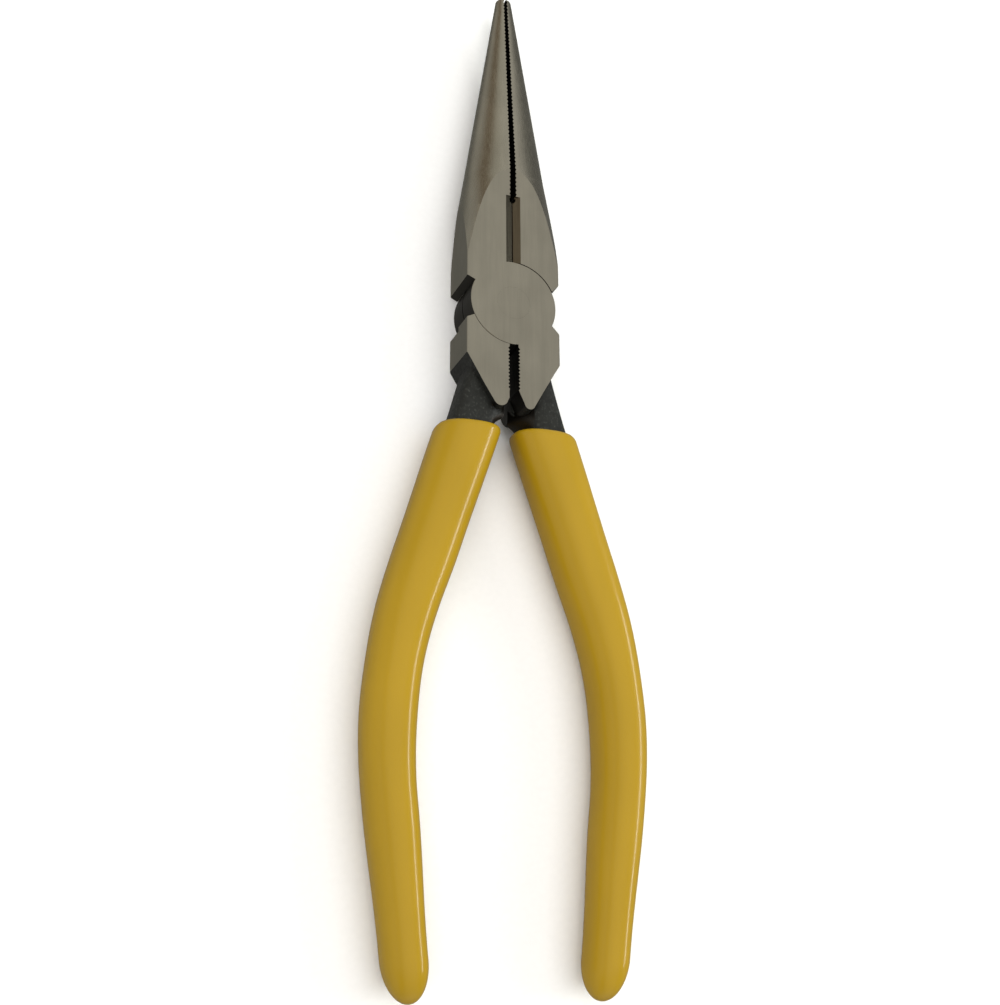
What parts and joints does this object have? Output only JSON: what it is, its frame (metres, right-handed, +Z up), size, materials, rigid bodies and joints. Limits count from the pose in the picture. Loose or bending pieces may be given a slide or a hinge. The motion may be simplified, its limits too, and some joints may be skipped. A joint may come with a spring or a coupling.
{
  "type": "needle nose pliers",
  "caption": "Long needle nose pliers with a side cutter, serrated rear gripping gap, riveted half-lap joint and yellow vinyl handle sleeves.",
  "frame": {"origin": "on the table under the middle of the tool's bounding box, with the tool closed and lying flat", "axes": "+Y along the tool towards the jaw tips, +X to the right seen from above, +Z up through the joint's rivet"},
  "size_m": [0.0534, 0.2, 0.0108],
  "materials": {
    "forged_steel": "ground faces on the head, black forging scale on the tangs",
    "rivet_steel": "ground flush with the head",
    "yellow_vinyl": "smooth glossy vinyl"
  },
  "bodies": {
    "left_jaw_body": {"left_jaw_half": "forged_steel", "right_handle_sleeve": "yellow_vinyl", "rivet_pin": "rivet_steel"},
    "right_jaw_body": {"right_jaw_half": "forged_steel", "left_handle_sleeve": "yellow_vinyl"}
  },
  "joints": [
    {"name": "jaw_pivot", "type": "hinge", "parent": "left_jaw_body", "child": "right_jaw_body", "pos_m": [0, 0.0267, 0.0054], "axis": [0, 0, -1], "range_deg": [0, 48]}
  ]
}
